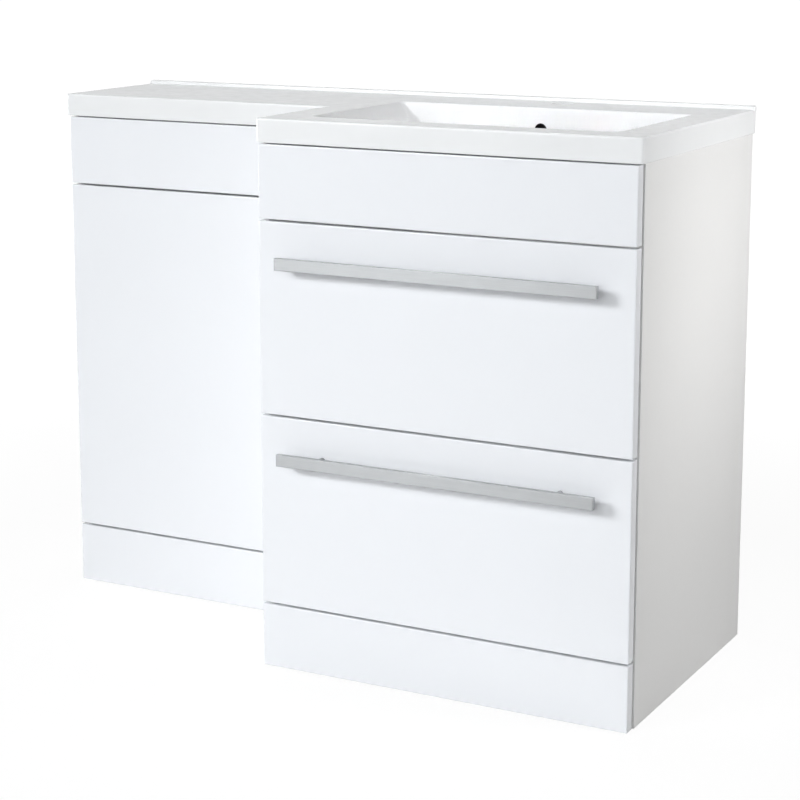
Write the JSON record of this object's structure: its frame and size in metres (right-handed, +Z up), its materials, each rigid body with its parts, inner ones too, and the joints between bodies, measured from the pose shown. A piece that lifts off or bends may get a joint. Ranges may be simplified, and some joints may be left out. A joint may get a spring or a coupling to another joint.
{
  "type": "freestanding vanity unit",
  "caption": "Freestanding L-shaped bathroom unit: a two-drawer vanity beside a shallower WC cabinet, under one cast top with an integral rectangular basin.",
  "frame": {"origin": "bottom centre of the bounding box, on the floor", "axes": "+X to the right as seen from the room, +Y back to the wall, +Z up"},
  "size_m": [1.11, 0.502, 0.846],
  "materials": {
    "cast_marble": "gloss white gel coat on cast marble",
    "gloss_white_front": "gloss white foil on board",
    "white_carcass_board": "satin white melamine on board",
    "white_drawer_board": "matt white melamine on board",
    "satin_aluminium": "satin",
    "zinc_plated_steel": "zinc plated",
    "white_coated_steel": "cream-white powder coat",
    "roller_plastic": "matt",
    "clip_plastic": "matt",
    "grey_moulded_plastic": "fine-grained matt",
    "buffer_rubber": "soft matt",
    "beech_dowel": "raw"
  },
  "bodies": {
    "unit": {"basin_top": "cast_marble", "vanity_side_left": "white_carcass_board", "vanity_side_right": "white_carcass_board", "vanity_base": "white_carcass_board", "vanity_front_rail": "white_carcass_board", "vanity_back_rail_top": "white_carcass_board", "vanity_back_rail_low": "white_carcass_board", "vanity_plinth_rail": "white_carcass_board", "wc_side_left": "white_carcass_board", "wc_side_right": "white_carcass_board", "wc_front_rail": "white_carcass_board", "wc_back_rail_top": "white_carcass_board", "wc_back_rail_low": "white_carcass_board", "wc_plinth_rail": "white_carcass_board", "vanity_fascia": "gloss_white_front", "vanity_plinth": "gloss_white_front", "wc_fascia": "gloss_white_front", "wc_access_panel": "gloss_white_front", "wc_plinth": "gloss_white_front", "carcass_cams": "zinc_plated_steel", "carcass_cam_bolts": "zinc_plated_steel", "link_sleeves": "zinc_plated_steel", "link_screws": "zinc_plated_steel", "wall_brackets": "zinc_plated_steel", "wood_screws": "zinc_plated_steel", "carcass_dowels": "beech_dowel", "panel_clips": "clip_plastic", "drawer_buffers": "buffer_rubber", "upper_rail_left": "white_coated_steel", "upper_rail_right": "white_coated_steel", "lower_rail_left": "white_coated_steel", "lower_rail_right": "white_coated_steel"},
    "upper_drawer": {"upper_front": "gloss_white_front", "upper_side_left": "white_drawer_board", "upper_side_right": "white_drawer_board", "upper_back_left": "white_drawer_board", "upper_back_right": "white_drawer_board", "upper_bottom": "white_drawer_board", "trap_surround": "grey_moulded_plastic", "upper_dowels": "beech_dowel", "upper_track_left": "white_coated_steel", "upper_track_right": "white_coated_steel", "upper_handle_bar": "satin_aluminium", "upper_handle_posts": "satin_aluminium", "upper_handle_screws": "zinc_plated_steel"},
    "lower_drawer": {"lower_front": "gloss_white_front", "lower_side_left": "white_drawer_board", "lower_side_right": "white_drawer_board", "lower_back": "white_drawer_board", "lower_bottom": "white_drawer_board", "lower_dowels": "beech_dowel", "lower_track_left": "white_coated_steel", "lower_track_right": "white_coated_steel", "lower_handle_bar": "satin_aluminium", "lower_handle_posts": "satin_aluminium", "lower_handle_screws": "zinc_plated_steel"},
    "upper_front_rollers": {"upper_front_rollers": "roller_plastic"},
    "lower_front_rollers": {"lower_front_rollers": "roller_plastic"},
    "upper_rear_rollers": {"upper_rear_rollers": "roller_plastic"},
    "lower_rear_rollers": {"lower_rear_rollers": "roller_plastic"}
  },
  "joints": [
    {"name": "upper_drawer_slide", "type": "slide", "parent": "unit", "child": "upper_drawer", "axis": [0, -1, 0], "range_m": [0, 0.3]},
    {"name": "lower_drawer_slide", "type": "slide", "parent": "unit", "child": "lower_drawer", "axis": [0, -1, 0], "range_m": [0, 0.3]},
    {"name": "upper_front_roller_turn", "type": "hinge", "parent": "unit", "child": "upper_front_rollers", "pos_m": [0.25, -0.181, 0.431], "axis": [1, 0, 0], "range_deg": [0, 1565]},
    {"name": "lower_front_roller_turn", "type": "hinge", "parent": "unit", "child": "lower_front_rollers", "pos_m": [0.25, -0.181, 0.136], "axis": [1, 0, 0], "range_deg": [0, 1565]},
    {"name": "upper_rear_roller_turn", "type": "hinge", "parent": "upper_drawer", "child": "upper_rear_rollers", "pos_m": [0.25, 0.181, 0.4238], "axis": [1, 0, 0], "range_deg": [0, 1565]},
    {"name": "lower_rear_roller_turn", "type": "hinge", "parent": "lower_drawer", "child": "lower_rear_rollers", "pos_m": [0.25, 0.181, 0.1288], "axis": [1, 0, 0], "range_deg": [0, 1565]}
  ],
  "couplings": [
    {"joint": "upper_front_roller_turn", "follows": "upper_drawer_slide", "rad_per_m": 90.909},
    {"joint": "upper_rear_roller_turn", "follows": "upper_drawer_slide", "rad_per_m": 90.909},
    {"joint": "lower_front_roller_turn", "follows": "lower_drawer_slide", "rad_per_m": 90.909},
    {"joint": "lower_rear_roller_turn", "follows": "lower_drawer_slide", "rad_per_m": 90.909}
  ]
}
